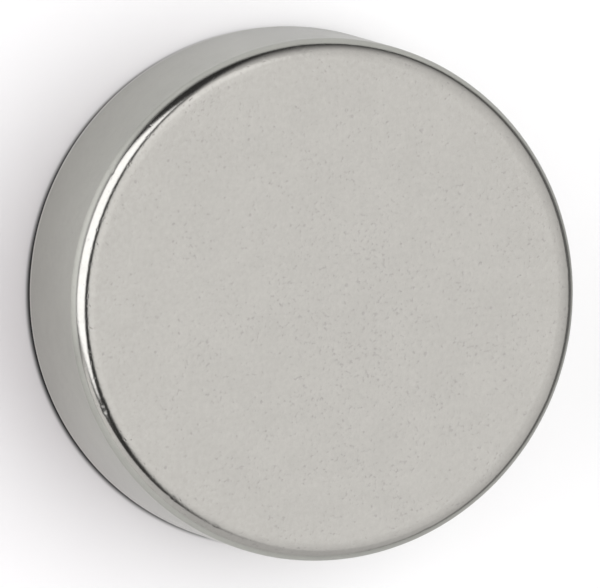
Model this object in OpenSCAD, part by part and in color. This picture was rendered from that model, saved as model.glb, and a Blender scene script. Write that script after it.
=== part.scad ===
// Disc magnet
// A solid round magnet lying on one of its two flat faces. It is one sintered
// piece with a thin bright nickel plating, and tumbling has rounded both rims.
// Millimetres. The origin is the centre of the lower face, +Z is the disc's axis.

/* [Disc] */
// Outer diameter of the disc
disc_d = 15; // [6:0.5:40]
// Height from the lower face to the upper face
disc_h = 5; // [3:0.5:20]

/* [Rims] */
// Radius of the rounded edge around each flat face
rim_r = 0.55; // [0.1:0.05:1.2]

/* [Hidden] */

// Outer radius, and radius of each flat face inside its rounded edge
disc_r = disc_d / 2;
face_r = disc_r - rim_r;

// Facets around a full circle
round_fn = 128;

// Half of the disc's section, from the axis out to the side wall. The flat faces
// run out to face_r, and a quarter circle joins each one to the wall.
module half_section() {
    square([face_r, disc_h]);
    translate([0, rim_r])
        square([disc_r, disc_h - 2 * rim_r]);
    for (z = [rim_r, disc_h - rim_r])
        translate([face_r, z])
            circle(r = rim_r, $fn = round_fn);
}

module magnet() {
    color([0.76, 0.75, 0.73])
        rotate_extrude($fn = round_fn)
            half_section();
}

magnet();
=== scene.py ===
"""Dresses the disc magnet: its tumbled nickel skin, and the table and light around it."""

import math

import bmesh
import bpy
from bpy.props import FloatProperty, FloatVectorProperty, PointerProperty
from mathutils import Matrix, Vector, noise


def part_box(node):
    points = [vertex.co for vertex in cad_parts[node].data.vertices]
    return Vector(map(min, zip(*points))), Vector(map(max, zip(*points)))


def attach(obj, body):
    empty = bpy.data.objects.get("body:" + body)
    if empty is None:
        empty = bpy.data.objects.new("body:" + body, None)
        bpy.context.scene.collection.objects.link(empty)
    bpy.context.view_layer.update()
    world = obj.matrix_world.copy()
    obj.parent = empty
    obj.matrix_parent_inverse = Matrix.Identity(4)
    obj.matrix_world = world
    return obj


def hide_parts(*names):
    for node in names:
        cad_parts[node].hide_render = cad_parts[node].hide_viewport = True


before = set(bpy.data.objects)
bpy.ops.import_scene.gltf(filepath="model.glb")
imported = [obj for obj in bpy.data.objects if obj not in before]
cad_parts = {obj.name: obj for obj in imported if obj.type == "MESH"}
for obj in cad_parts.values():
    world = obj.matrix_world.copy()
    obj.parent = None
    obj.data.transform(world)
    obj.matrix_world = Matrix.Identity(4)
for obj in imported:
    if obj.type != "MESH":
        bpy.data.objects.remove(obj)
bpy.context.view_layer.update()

bl_info = {
    "name": "Disc Magnet",
    "version": (1, 0, 0),
    "blender": (4, 5, 0),
    "location": "View3D > Sidebar > Disc Magnet",
    "description": "Models a round nickel-plated disc magnet on a pale table",
    "category": "Object",
}

MM = 0.001
LOWEST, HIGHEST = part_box("magnet")
DISC_DIAMETER = HIGHEST.x - LOWEST.x
DISC_HEIGHT = HIGHEST.z - LOWEST.z

BLACK = (0.0, 0.0, 0.0, 1.0)
WHITE = (1.0, 1.0, 1.0, 1.0)


# ---------------------------------------------------------------- settings


class MagnetShape(bpy.types.PropertyGroup):
    """Sizes of the disc."""

    diameter: FloatProperty(
        name="Diameter", description="Outer diameter of the disc",
        default=DISC_DIAMETER, unit="LENGTH", precision=5,
    )
    height: FloatProperty(
        name="Height", description="From the lower face to the upper face",
        default=DISC_HEIGHT, unit="LENGTH", precision=5,
    )
    upper_rim: FloatProperty(
        name="Upper rim", description="Radius of the rounded edge of the upper face",
        default=0.56 * MM, unit="LENGTH", precision=5,
    )
    lower_rim: FloatProperty(
        name="Lower rim", description="Radius of the rounded edge of the lower face",
        default=0.47 * MM, unit="LENGTH", precision=5,
    )
    rim_wear: FloatProperty(
        name="Rim wear", description="How far tumbling has worn the rims unevenly",
        default=0.006 * MM, unit="LENGTH", precision=6,
    )


class NickelPlating(bpy.types.PropertyGroup):
    """Colours and texture of the plating."""

    colour: FloatVectorProperty(
        name="Nickel", description="Colour of the bright plating",
        default=(0.629, 0.637, 0.591), subtype="COLOR", size=3, min=0, max=1,
    )
    haze_colour: FloatVectorProperty(
        name="Haze", description="Colour of the duller cloudy patches",
        default=(0.577, 0.584, 0.542), subtype="COLOR", size=3, min=0, max=1,
    )
    edge_tint: FloatVectorProperty(
        name="Edge tint", description="How far reflections dull at a slanting view",
        default=(0.808, 0.808, 0.808), subtype="COLOR", size=3, min=0, max=1,
    )
    # Painted highlight: the brighter colour of a band on the lower rim, standing in for its
    # reflection
    painted_highlight_colour: FloatVectorProperty(
        name="Rubbed edge", description="Colour of the lower edge, rubbed bright in use",
        default=(0.95, 0.95, 0.91), subtype="COLOR", size=3, min=0, max=1,
    )
    pit_colour: FloatVectorProperty(
        name="Pits", description="Colour inside the fine pits",
        default=(0.43, 0.42, 0.41), subtype="COLOR", size=3, min=0, max=1,
    )
    roughness: FloatProperty(
        name="Roughness", description="How blurred the plating's reflections are",
        default=0.13, min=0, max=1, subtype="FACTOR",
    )
    grain_depth: FloatProperty(
        name="Grain depth", description="Height of the fine orange-peel grain",
        default=0.0048 * MM, unit="LENGTH", precision=7,
    )


class StudioLight(bpy.types.PropertyGroup):
    """Table, light panels, lamp and camera."""

    table_radius: FloatProperty(
        name="Table radius", description="Half the width of the round table",
        default=0.3, unit="LENGTH",
    )
    sheet_colour: FloatVectorProperty(
        name="Sheet", description="Colour of the pale sheet under the disc",
        default=(0.937, 0.93, 0.931), subtype="COLOR", size=3, min=0, max=1,
    )
    tent_tint: FloatVectorProperty(
        name="Tent tint", description="Slight warmth of the light from the tent",
        default=(1.045, 1.0, 1.015), subtype="COLOR", size=3, min=0, max=2,
    )
    lamp_colour: FloatVectorProperty(
        name="Lamp colour", description="Slightly cool colour of the overhead lamp",
        default=(0.945, 1.0, 0.99), subtype="COLOR", size=3, min=0, max=1,
    )
    lamp_power: FloatProperty(
        name="Lamp power", description="Power of the broad overhead lamp",
        default=2.48, unit="POWER", min=0,
    )
    lamp_width: FloatProperty(
        name="Lamp width", description="Width of the overhead lamp, which softens the shadow",
        default=0.825, unit="LENGTH", min=0,
    )
    camera_distance: FloatProperty(
        name="Camera distance", description="From the disc to the camera",
        default=0.75, unit="LENGTH",
    )


# ------------------------------------------------------------ node helpers


class Nodes:
    """Adds linked shader nodes to one node tree."""

    def __init__(self, tree):
        self.tree = tree
        tree.nodes.clear()

    def add(self, kind, inputs=None, **settings):
        """A node with its settings, and its inputs by name or number."""
        node = self.tree.nodes.new(kind)
        for name, value in settings.items():
            setattr(node, name, value)
        for key, value in (inputs or {}).items():
            self.feed(node.inputs[key], value)
        return node

    def feed(self, socket, value):
        """Links another node's output to the socket, or sets a plain value on it."""
        if isinstance(value, bpy.types.NodeSocket):
            self.tree.links.new(value, socket)
        else:
            socket.default_value = value

    def math(self, operation, a, b=0.0):
        return self.add("ShaderNodeMath", {0: a, 1: b}, operation=operation).outputs[0]

    def product(self, first, *others):
        """All the values multiplied together."""
        for other in others:
            first = self.math("MULTIPLY", first, other)
        return first

    def mix(self, factor, low, high):
        """A number between low and high."""
        return self.add("ShaderNodeMix", {0: factor, 2: low, 3: high}).outputs[0]

    def blend(self, factor, low, high):
        """A colour between low and high. Sockets 6 and 7 are the mix node's two colours."""
        node = self.add("ShaderNodeMix", data_type="RGBA")
        self.feed(node.inputs["Factor"], factor)
        self.feed(node.inputs[6], low)
        self.feed(node.inputs[7], high)
        return node.outputs[2]

    def remap(self, value, low, high, to_low=0.0, to_high=1.0, smooth=False):
        """Carries low to high over to to_low to to_high, held at both ends."""
        kind = "SMOOTHSTEP" if smooth else "LINEAR"
        inputs = {0: value, 1: low, 2: high, 3: to_low, 4: to_high}
        return self.add("ShaderNodeMapRange", inputs, interpolation_type=kind).outputs[0]

    def along(self, vector, direction):
        """How far the vector reaches in that direction."""
        inputs = {0: vector, 1: Vector(direction)}
        return self.add("ShaderNodeVectorMath", inputs, operation="DOT_PRODUCT").outputs["Value"]

    def fade(self, vector, towards, reach, levels, smooth=False):
        """Goes between two levels as the vector reaches between two values that way."""
        return self.remap(self.along(vector, towards), *reach, *levels, smooth)

    def distance(self, place, centre=(0, 0, 0)):
        inputs = {0: place, 1: Vector(centre)}
        return self.add("ShaderNodeVectorMath", inputs, operation="DISTANCE").outputs["Value"]

    def millimetres(self):
        """The place on a piece, in millimetres."""
        place = self.add("ShaderNodeTexCoord").outputs["Object"]
        inputs = {"Vector": place, "Scale": (1 / MM,) * 3}
        return self.add("ShaderNodeMapping", inputs).outputs[0]

    def noise(self, place, scale, detail):
        """Soft random variation, with that many features to the millimetre."""
        inputs = {"Vector": place, "Scale": scale, "Detail": detail, "Roughness": 0.6}
        return self.add("ShaderNodeTexNoise", inputs).outputs[0]

    def ramp(self, value, stops):
        """A grey level for each value, from (value, level) stops in rising order."""
        node = self.add("ShaderNodeValToRGB", {0: value})
        points = node.color_ramp.elements
        while len(points) < len(stops):
            points.new(0.5)
        for point, (position, _) in zip(points, stops):
            point.position = position
        for point, (_, level) in zip(points, stops):
            point.color = (level, level, level, 1.0)
        return node.outputs[0]


def opaque(colour):
    return (*colour, 1.0)


def new_material(name):
    """An empty material, and the nodes to fill it with."""
    material = bpy.data.materials.new(name)
    material.use_nodes = True
    return material, Nodes(material.node_tree)


def add_mesh_object(name, bm):
    """Turns a bmesh in millimetres into an object at the origin, in metres."""
    bmesh.ops.scale(bm, vec=Vector((MM, MM, MM)), verts=bm.verts)
    bmesh.ops.recalc_face_normals(bm, faces=bm.faces)
    mesh = bpy.data.meshes.new(name)
    bm.to_mesh(mesh)
    bm.free()
    mesh.shade_smooth()
    piece = bpy.data.objects.new(name, mesh)
    bpy.context.scene.collection.objects.link(piece)
    return piece


# ---------------------------------------------------------------- the disc

# How finely the disc is turned: segments round the axis, and across each rounded rim
ROUND_SEGMENTS = 1024
RIM_SEGMENTS = 20
# Width in millimetres of the narrow ring that keeps each face flat up to its rim
FLAT_RING = 0.05

# Half the height, in millimetres, of the middle of the wall, which tumbling has left alone
UNWORN_WALL = 1.5
# Bumps to the millimetre in the worn rims and inside a nick
WEAR_SCALE = 0.9
NICK_SCALE = 9
# How many widths a nick reaches from its middle
NICK_REACH = 2.5
# Nicks along the rims: place of the middle, width and depth in millimetres
NICKS = (
    ((-6.33, 3.91, 4.69), 0.13, 0.014),
    ((-6.68, -2.79, 4.92), 0.12, 0.010),
    ((-6.61, -2.97, 4.91), 0.09, 0.007),
    ((-4.62, -5.53, 4.94), 0.14, 0.010),
    ((-3.38, -6.33, 4.95), 0.16, 0.009),
    ((2.90, -6.73, 4.85), 0.16, 0.012),
    ((6.49, -2.98, 4.97), 0.12, 0.009),
    ((7.15, 0.63, 4.95), 0.12, 0.009),
    ((7.14, -0.46, 4.96), 0.10, 0.008),
    ((-0.72, 7.24, 4.89), 0.16, 0.007),
    ((-3.24, 6.76, 4.36), 0.16, 0.008),
)

# Features to the millimetre and fineness of each variation in the plating
CLOUD = (1.1, 4.0)
MOTTLE = (6.0, 3.0)
GRAIN = (8.0, 3.0)
SPECKS = (8.0, 2.0)
CROWDING = (1.3, 3.0)
# Share of the haze that the clouds bring, and the mottling
CLOUD_HAZE = 0.4
MOTTLE_HAZE = 0.6
# Where on the face the specks crowd most, in millimetres from its middle
PITTED_SPOT = (1.2, -0.8)
# How strongly the pits darken the nickel, and how deep they are beside the grain
PIT_DARKNESS = 0.40
PIT_DEPTH = 0.9
# Deeper pits in the upper face: place and width in millimetres
DEEP_PITS = (
    ((2.94, -1.59), 0.055),
    ((4.28, 2.36), 0.045),
    ((-2.29, 2.53), 0.045),
    ((0.75, 5.27), 0.050),
    ((-4.81, -4.63), 0.045),
    ((-5.11, -1.31), 0.040),
    ((4.90, -0.33), 0.045),
    ((1.46, -6.20), 0.040),
    ((-2.33, 4.69), 0.040),
    ((-4.72, 4.15), 0.040),
    ((0.58, 0.44), 0.050),
    ((1.08, -0.38), 0.050),
)
# Grain left on the wall and the rims by tumbling, and how far below a face it starts to grow
SMOOTHED_GRAIN = 0.3
GRAIN_EDGE = (0.08, 0.003)
# Heights in millimetres where the painted highlight on the lower rim begins, is at its brightest,
# starts to fade and ends
PAINTED_HIGHLIGHT_LINE = (0.22, 0.32, 0.44, 0.56)


def turned_disc(shape):
    """A round disc with both rims rounded, in millimetres, standing on z = 0."""
    radius = shape.diameter / 2 / MM
    height = shape.height / MM
    bm = bmesh.new()
    bmesh.ops.create_cone(
        bm, cap_ends=True, cap_tris=False, segments=ROUND_SEGMENTS,
        radius1=radius, radius2=radius, depth=height,
        matrix=Matrix.Translation((0, 0, height / 2)),
    )
    for level, rim in ((height, shape.upper_rim), (0, shape.lower_rim)):
        circle = [e for e in bm.edges if all(abs(v.co.z - level) < 1e-4 for v in e.verts)]
        bmesh.ops.bevel(
            bm, geom=circle, offset=rim / MM, offset_type="OFFSET",
            segments=RIM_SEGMENTS, profile=0.5, affect="EDGES", material=-1,
        )
    caps = [f for f in bm.faces if len(f.verts) > 4]
    bmesh.ops.inset_individual(bm, faces=caps, thickness=FLAT_RING, depth=0)
    return bm


def nick_depth(place):
    """How deep the nicks go at that place, in millimetres."""
    depth = 0.0
    for centre, width, dent in NICKS:
        gap = (place - Vector(centre)).length / width
        if gap < NICK_REACH:
            depth += dent * math.exp(-gap * gap) * (0.6 + 0.8 * noise.noise(place * NICK_SCALE))
    return depth


def wear_rims(bm, shape):
    """Tumbling has worn the rims a little unevenly and left small nicks."""
    height = shape.height / MM
    face_radius = (shape.diameter / 2 - shape.upper_rim) / MM
    wear = shape.rim_wear / MM
    bm.normal_update()
    moves = []
    for vert in bm.verts:
        place = vert.co
        beyond_face = math.hypot(place.x, place.y) > face_radius + 0.01
        depth = nick_depth(place)
        if beyond_face and abs(place.z - height / 2) > UNWORN_WALL:
            depth += wear * (0.5 + 0.5 * noise.noise(place * WEAR_SCALE))
        if depth > 0:
            moves.append((vert, depth))
    for vert, depth in moves:
        vert.co -= vert.normal * depth


def pitting(n, in_mm, top):
    """1 in the dark specks, which crowd in patches and on one spot of the upper face."""
    patches = n.remap(n.noise(in_mm, *CROWDING), 0.35, 0.65, 0.325, 0.425)
    spot = n.remap(n.distance(in_mm, (*PITTED_SPOT, top)), 1.5, 7.5, 0.030, -0.020)
    limit = n.math("ADD", patches, spot)
    over = n.math("SUBTRACT", limit, n.noise(in_mm, *SPECKS))
    pits = n.remap(over, -0.03, 0.14, 0.0, 1.0, True)
    for (x, y), width in DEEP_PITS:
        gap = n.distance(in_mm, (x, y, top))
        deep = n.remap(gap, width * 0.5, width * 1.4, 1.0, 0.0, True)
        pits = n.math("MAXIMUM", pits, deep)
    return pits


def nickel_material(plating, shape):
    """Bright nickel over a tumbled body: cloudy haze, fine grain and clustered pits."""
    material, n = new_material("tumbled_nickel")
    in_mm = n.millimetres()
    height_mm = n.add("ShaderNodeSeparateXYZ", {0: in_mm}).outputs["Z"]
    top = shape.height / MM
    middle = top / 2
    cloud = n.noise(in_mm, *CLOUD)
    mottle = n.noise(in_mm, *MOTTLE)
    pits = pitting(n, in_mm, top)

    clouded = n.remap(cloud, 0.35, 0.65, 0.0, CLOUD_HAZE)
    mottled = n.remap(mottle, 0.28, 0.64, 0.0, MOTTLE_HAZE)
    haze = n.math("ADD", clouded, mottled)
    clean = n.blend(haze, opaque(plating.colour), opaque(plating.haze_colour))
    # Painted highlight: a brighter colour band low on the lower rim stands in for the rim's
    # reflection
    begins, brightest, fades, ends = PAINTED_HIGHLIGHT_LINE
    above = n.remap(height_mm, begins, brightest)
    below = n.remap(height_mm, ends, fades)
    clean = n.blend(n.product(below, above), clean, opaque(plating.painted_highlight_colour))
    colour = n.blend(n.product(pits, PIT_DARKNESS), clean, opaque(plating.pit_colour))
    roughness = n.remap(cloud, 0.3, 0.7, plating.roughness * 0.85, plating.roughness * 1.2)

    # The faces keep the rough grain, and tumbling has smoothed the rims and the wall
    off_middle = n.math("ABSOLUTE", n.math("SUBTRACT", height_mm, middle))
    start, full = (middle - gap for gap in GRAIN_EDGE)
    rough = n.remap(off_middle, start, full, SMOOTHED_GRAIN, 1.0)
    grain = n.math("SUBTRACT", n.noise(in_mm, *GRAIN), 0.5)
    relief = n.product(n.math("SUBTRACT", grain, n.product(pits, PIT_DEPTH)), rough)
    bump = n.add(
        "ShaderNodeBump",
        {"Height": relief, "Strength": 1.0, "Distance": plating.grain_depth},
    ).outputs[0]
    skin = n.add(
        "ShaderNodeBsdfPrincipled",
        {"Base Color": colour, "Metallic": 1.0, "Roughness": roughness, "Normal": bump},
    )
    skin.inputs["Specular Tint"].default_value = opaque(plating.edge_tint)
    n.add("ShaderNodeOutputMaterial", {"Surface": skin.outputs[0]})
    return material


class MAGNET_OT_disc(bpy.types.Operator):
    """Models the plated disc with its rounded, slightly nicked rims"""

    bl_idname = "magnet.disc"
    bl_label = "Disc"

    def execute(self, context):
        scene = context.scene
        bm = turned_disc(scene.magnet_shape)
        wear_rims(bm, scene.magnet_shape)
        disc = add_mesh_object("plated_disc", bm)
        disc.data.materials.append(nickel_material(scene.nickel_plating, scene.magnet_shape))
        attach(disc, "root")
        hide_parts("magnet")
        return {"FINISHED"}


# --------------------------------------------------------------- the world

# Straight edges of each panel around the disc: a direction that points inwards, and softness
TENT_EDGES = (
    ((2.527, -0.126, 1.0), 0.10),
    ((1.828, 0.874, 1.0), 0.19),
    ((-0.085, -0.020, 1.0), 0.11),
    ((0.336, -0.510, 1.0), 0.47),
)
WINDOW_EDGES = (
    ((-1.165, 0.277, -1.0), 0.09),
    ((-1.095, -1.417, 1.0), 0.08),
    ((-0.205, 1.665, 1.0), 0.10),
    ((0.040, -0.122, 1.0), 0.115),
)
CARD_EDGES = (
    ((0.003, -0.769, -1.0), 0.03),
    ((0.334, -0.942, 0.0), 0.12),
    ((-0.770, -0.637, 0.0), 0.47),
)
# Brightness of the tent by the sine of its height above the table
TENT_LEVELS = (
    (0.0, 0.10), (0.05, 0.49), (0.24, 0.605), (0.50, 0.672), (0.72, 0.74),
    (0.88, 0.79), (0.94, 0.857), (0.978, 0.933), (1.0, 0.992),
)
# The brightest spot of the tent: where it is, how it fades in, and its level
GLOW_TOWARDS = (-0.063, 0.450, 0.891)
GLOW_REACH = (0.94, 0.995)
GLOW_LEVEL = (1.092, 1.092, 1.092, 1.0)
# The window as it lights the table, and a little milder as the disc mirrors it
WINDOW_LIGHT = (1.79, 1.82, 1.85, 1.0)
WINDOW_MIRRORED = (1.62, 1.64, 1.67, 1.0)
# How far the window's edges are let out, as a sine
WINDOW_SPREAD = 0.025
# The pale card: its brighter side, how it fades there, and its levels
CARD_TOWARDS = (-0.982, 0.191, 0.0)
CARD_REACH = (0.0, 0.95)
CARD_LEVELS = (0.546, 0.882)
# The dark gap between the panels
GAP_LEVEL = (0.038, 0.038, 0.038, 1.0)


def inside(n, direction, edges, spread=0.0):
    """1 inside all the straight edges, let out by the spread, with a soft step to 0 at each."""
    mask = None
    for edge, softness in edges:
        side = n.along(direction, Vector(edge).normalized())
        step = n.remap(side, -softness - spread, softness - spread, smooth=True)
        mask = step if mask is None else n.product(mask, step)
    return mask


def studio_world(tint):
    """A white tent over the right, a bright window low on the left and a pale card."""
    world = bpy.data.worlds.new("studio")
    world.use_nodes = True
    n = Nodes(world.node_tree)
    direction = n.add("ShaderNodeTexCoord").outputs["Generated"]
    height = n.add("ShaderNodeSeparateXYZ", {0: direction}).outputs["Z"]

    glow = n.fade(direction, GLOW_TOWARDS, GLOW_REACH, (0.0, 1.0), smooth=True)
    tent = n.blend(glow, n.ramp(height, TENT_LEVELS), GLOW_LEVEL)
    mirrored = n.add("ShaderNodeLightPath").outputs["Is Glossy Ray"]
    window = n.blend(mirrored, WINDOW_LIGHT, WINDOW_MIRRORED)
    card = n.blend(n.fade(direction, CARD_TOWARDS, CARD_REACH, CARD_LEVELS), BLACK, WHITE)

    light = n.blend(inside(n, direction, TENT_EDGES), GAP_LEVEL, tent)
    light = n.blend(inside(n, direction, WINDOW_EDGES, WINDOW_SPREAD), light, window)
    light = n.blend(inside(n, direction, CARD_EDGES), light, card)
    light = n.add("ShaderNodeVectorMath", {0: light, 1: tint}, operation="MULTIPLY").outputs[0]
    background = n.add("ShaderNodeBackground", {"Color": light, "Strength": 1.0})
    n.add("ShaderNodeOutputWorld", {"Surface": background.outputs[0]})
    return world


# --------------------------------------------------------------- the table

# Painted contact shadow, dark in the sheet's colour in the gap under the rounded edge: middle,
# inner and outer radius in millimetres
PAINTED_SHADE_CENTRE = (-0.012, -0.062, 0.0)
PAINTED_SHADE_EDGE = (7.387, 7.54)
PAINTED_SHADE_COLOUR = (0.06, 0.06, 0.06, 1.0)

# The grey card is a painted reflection: only the disc's mirror finish shows it, and its colours
# paint the table's light and shade
# The grey card: its inner radius and height above the table, in millimetres
CARD_INNER = 7.48
CARD_HEIGHT = 0.02
CARD_COLOUR = (0.980, 0.970, 0.960, 1.0)
# Where it stops being pale beside the disc, in millimetres from the middle
PALE_RING = (7.8, 11.3)
# How it greys further out: a heading, the two distances that way in millimetres, and the levels
BACK_FADE = ((-0.788, 0.616, 0.0), (14.1, 44.2), (1.0, 0.20))
FRONT_FADE = ((0.786, -0.618, 0.0), (-4.6, 38.4), (1.0, 0.67))
# To the right it goes dark between these distances, and the slant makes that V-shaped
RIGHT_FADE = (9.0, 27.0)
RIGHT_SLANT = 0.3
# The level that is left everywhere far out
FAR_LEVEL = 0.073
# Painted light and shade by heading, a lit strip to the left and shade beside the wall: a heading,
# two cosines from it, and the levels there
PAINTED_LIGHT_STRIP = ((-0.966, 0.259, 0.0), (0.86, 1.0), (0.525, 0.755))
LEFT_PAINTED_SHADE = ((-0.5, 0.866, 0.0), (-0.3, 1.0), (1.0, 0.78))
BACK_PAINTED_SHADE = ((0.35, 0.94, 0.0), (0.86, 1.0), (1.0, 0.84))
FRONT_PAINTED_SHADE = ((0.0, -1.0, 0.0), (0.6, 1.0), (0.0, 1.0))
# The painted shade at the front grows to this, between these distances in millimetres
FRONT_PAINTED_SHADE_REACH = (7.50, 7.75)
FRONT_PAINTED_SHADE_LEVEL = 0.16


def table_material(light):
    """A pale sheet with a painted contact shadow: dark only right under the disc's rounded edge,
    where no light gets in.
    """
    material, n = new_material("pale_sheet")
    reach = n.distance(n.millimetres(), PAINTED_SHADE_CENTRE)
    open_sheet = n.remap(reach, *PAINTED_SHADE_EDGE, smooth=True)
    colour = n.blend(open_sheet, PAINTED_SHADE_COLOUR, opaque(light.sheet_colour))
    surface = n.add("ShaderNodeBsdfPrincipled", {"Base Color": colour, "Roughness": 0.9})
    surface.inputs["Specular IOR Level"].default_value = 0.1
    n.add("ShaderNodeOutputMaterial", {"Surface": surface.outputs[0]})
    return material


def grey_card_material():
    """A painted reflection of the table: pale by the disc and in a painted lit strip to the left,
    greyer further out, dark on the right.
    """
    material, n = new_material("grey_card")
    in_mm = n.millimetres()
    heading = n.add("ShaderNodeVectorMath", {0: in_mm}, operation="NORMALIZE").outputs[0]
    place = n.add("ShaderNodeSeparateXYZ", {0: in_mm}).outputs
    reach = n.distance(in_mm)

    aside = n.product(n.math("ABSOLUTE", place["Y"]), RIGHT_SLANT)
    right = n.remap(n.math("SUBTRACT", place["X"], aside), *RIGHT_FADE, 1.0, 0.0, True)
    back = n.fade(in_mm, *BACK_FADE, smooth=True)
    front = n.fade(in_mm, *FRONT_FADE, smooth=True)
    # Painted light: a brighter strip to the left
    strip = n.fade(heading, *PAINTED_LIGHT_STRIP)
    far = n.math("ADD", n.product(right, back, front, strip), FAR_LEVEL)

    off_wall = n.remap(reach, *FRONT_PAINTED_SHADE_REACH, 0.0, FRONT_PAINTED_SHADE_LEVEL)
    front_painted_shade = n.product(n.fade(heading, *FRONT_PAINTED_SHADE), off_wall)
    # Painted shade beside the wall, darker to the left, the back and the front
    near_painted_shade = n.product(
        n.fade(heading, *LEFT_PAINTED_SHADE),
        n.math("SUBTRACT", 1.0, front_painted_shade),
        n.fade(heading, *BACK_PAINTED_SHADE),
    )

    level = n.mix(n.remap(reach, *PALE_RING, smooth=True), near_painted_shade, far)
    colour = n.blend(level, BLACK, CARD_COLOUR)
    surface = n.add("ShaderNodeBsdfPrincipled", {"Base Color": colour, "Roughness": 0.3})
    surface.inputs["Specular IOR Level"].default_value = 0.05
    n.add("ShaderNodeOutputMaterial", {"Surface": surface.outputs[0]})
    return material


def add_table(light):
    """The round table that the disc lies on."""
    bm = bmesh.new()
    bmesh.ops.create_circle(bm, cap_ends=True, segments=256, radius=light.table_radius / MM)
    table = add_mesh_object("table", bm)
    table.data.materials.append(table_material(light))


def add_grey_card(light):
    """A card round the disc that only its mirror finish shows, painted with the light and shade of
    the table for it to reflect.
    """
    bm = bmesh.new()
    bmesh.ops.create_circle(bm, segments=256, radius=CARD_INNER)
    bmesh.ops.create_circle(bm, segments=256, radius=light.table_radius / MM)
    bmesh.ops.bridge_loops(bm, edges=bm.edges)
    bmesh.ops.translate(bm, vec=Vector((0, 0, CARD_HEIGHT)), verts=bm.verts)
    card = add_mesh_object("grey_card", bm)
    card.data.materials.append(grey_card_material())
    card.visible_camera = False
    card.visible_diffuse = False
    card.visible_shadow = False


# ----------------------------------------------------- the lamp and camera

# Where the lamp hangs: degrees round from +X, degrees from straight up, and metres away
LAMP_PLACE = (9, 42, 0.5)
# Where the camera looks from: degrees round from +X, and degrees from straight up
CAMERA_HEADING = (161.7, 17.85)
# Sensor width, and how much of the disc's middle plane the view spans, in millimetres
SENSOR_WIDTH = 36
VIEW_WIDTH = 17.165
# How far the camera is set to the right and up of the disc's middle, in millimetres
VIEW_NUDGE = (-0.0505, -0.0228, 0)


def point_at(azimuth, from_vertical, distance):
    """The point that far from the origin, at two angles in degrees."""
    a = math.radians(azimuth)
    p = math.radians(from_vertical)
    return distance * Vector((math.sin(p) * math.cos(a), math.sin(p) * math.sin(a), math.cos(p)))


def add_lamp(scene, light):
    """The broad lamp that throws the soft shadow. The disc doesn't mirror it."""
    lamp = bpy.data.lights.new("overhead_lamp", "AREA")
    lamp.shape = "DISK"
    lamp.size = light.lamp_width
    lamp.energy = light.lamp_power
    lamp.color = light.lamp_colour
    lamp_object = bpy.data.objects.new("overhead_lamp", lamp)
    lamp_object.location = point_at(*LAMP_PLACE)
    lamp_object.rotation_euler = (-lamp_object.location).to_track_quat("-Z", "Y").to_euler()
    lamp_object.visible_camera = False
    lamp_object.visible_glossy = False
    scene.collection.objects.link(lamp_object)


def add_camera(scene, light):
    """A long lens that looks down on the disc at a slant."""
    camera = bpy.data.cameras.new("camera")
    camera.sensor_width = SENSOR_WIDTH
    camera.lens = SENSOR_WIDTH * light.camera_distance / (VIEW_WIDTH * MM)
    camera.clip_start = 0.01
    camera.clip_end = 10
    centre = Vector((0, 0, DISC_HEIGHT / 2))
    back = point_at(*CAMERA_HEADING, 1)
    right = Vector((0, 1, 0)).cross(back).normalized()
    turn = Matrix((right, back.cross(right), back)).transposed()
    nudge = turn @ Vector(VIEW_NUDGE) * MM
    camera_object = bpy.data.objects.new("camera", camera)
    camera_object.location = centre + back * light.camera_distance + nudge
    camera_object.rotation_euler = turn.to_euler()
    scene.collection.objects.link(camera_object)
    scene.camera = camera_object


class MAGNET_OT_stage(bpy.types.Operator):
    """Sets the table, the soft light and the camera around the disc"""

    bl_idname = "magnet.stage"
    bl_label = "Stage"

    def execute(self, context):
        scene = context.scene
        light = scene.studio_light
        add_table(light)
        add_grey_card(light)
        add_lamp(scene, light)
        add_camera(scene, light)
        scene.world = studio_world(light.tent_tint)
        scene.view_settings.view_transform = "Standard"
        return {"FINISHED"}


# ------------------------------------------------------------- the add-on


class MAGNET_PT_sidebar(bpy.types.Panel):
    """Lists the disc's and the stage's steps and settings"""

    bl_idname = "MAGNET_PT_sidebar"
    bl_label = "Disc Magnet"
    bl_space_type = "VIEW_3D"
    bl_region_type = "UI"
    bl_category = "Disc Magnet"

    def draw(self, context):
        scene = context.scene
        for settings, operator in (
            (scene.magnet_shape, MAGNET_OT_disc),
            (scene.nickel_plating, None),
            (scene.studio_light, MAGNET_OT_stage),
        ):
            box = self.layout.box()
            for name in settings.__annotations__:
                box.prop(settings, name)
            if operator:
                box.operator(operator.bl_idname)


CLASSES = (
    MagnetShape, NickelPlating, StudioLight,
    MAGNET_OT_disc, MAGNET_OT_stage, MAGNET_PT_sidebar,
)
SETTINGS = {
    "magnet_shape": MagnetShape,
    "nickel_plating": NickelPlating,
    "studio_light": StudioLight,
}


def register():
    for cls in CLASSES:
        bpy.utils.register_class(cls)
    for name, group in SETTINGS.items():
        setattr(bpy.types.Scene, name, PointerProperty(type=group))


def unregister():
    for name in SETTINGS:
        delattr(bpy.types.Scene, name)
    for cls in reversed(CLASSES):
        bpy.utils.unregister_class(cls)


def main():
    """Registers the add-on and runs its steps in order."""
    register()
    bpy.ops.magnet.disc()
    bpy.ops.magnet.stage()
    bpy.context.view_layer.update()


if __name__ == "__main__":
    main()
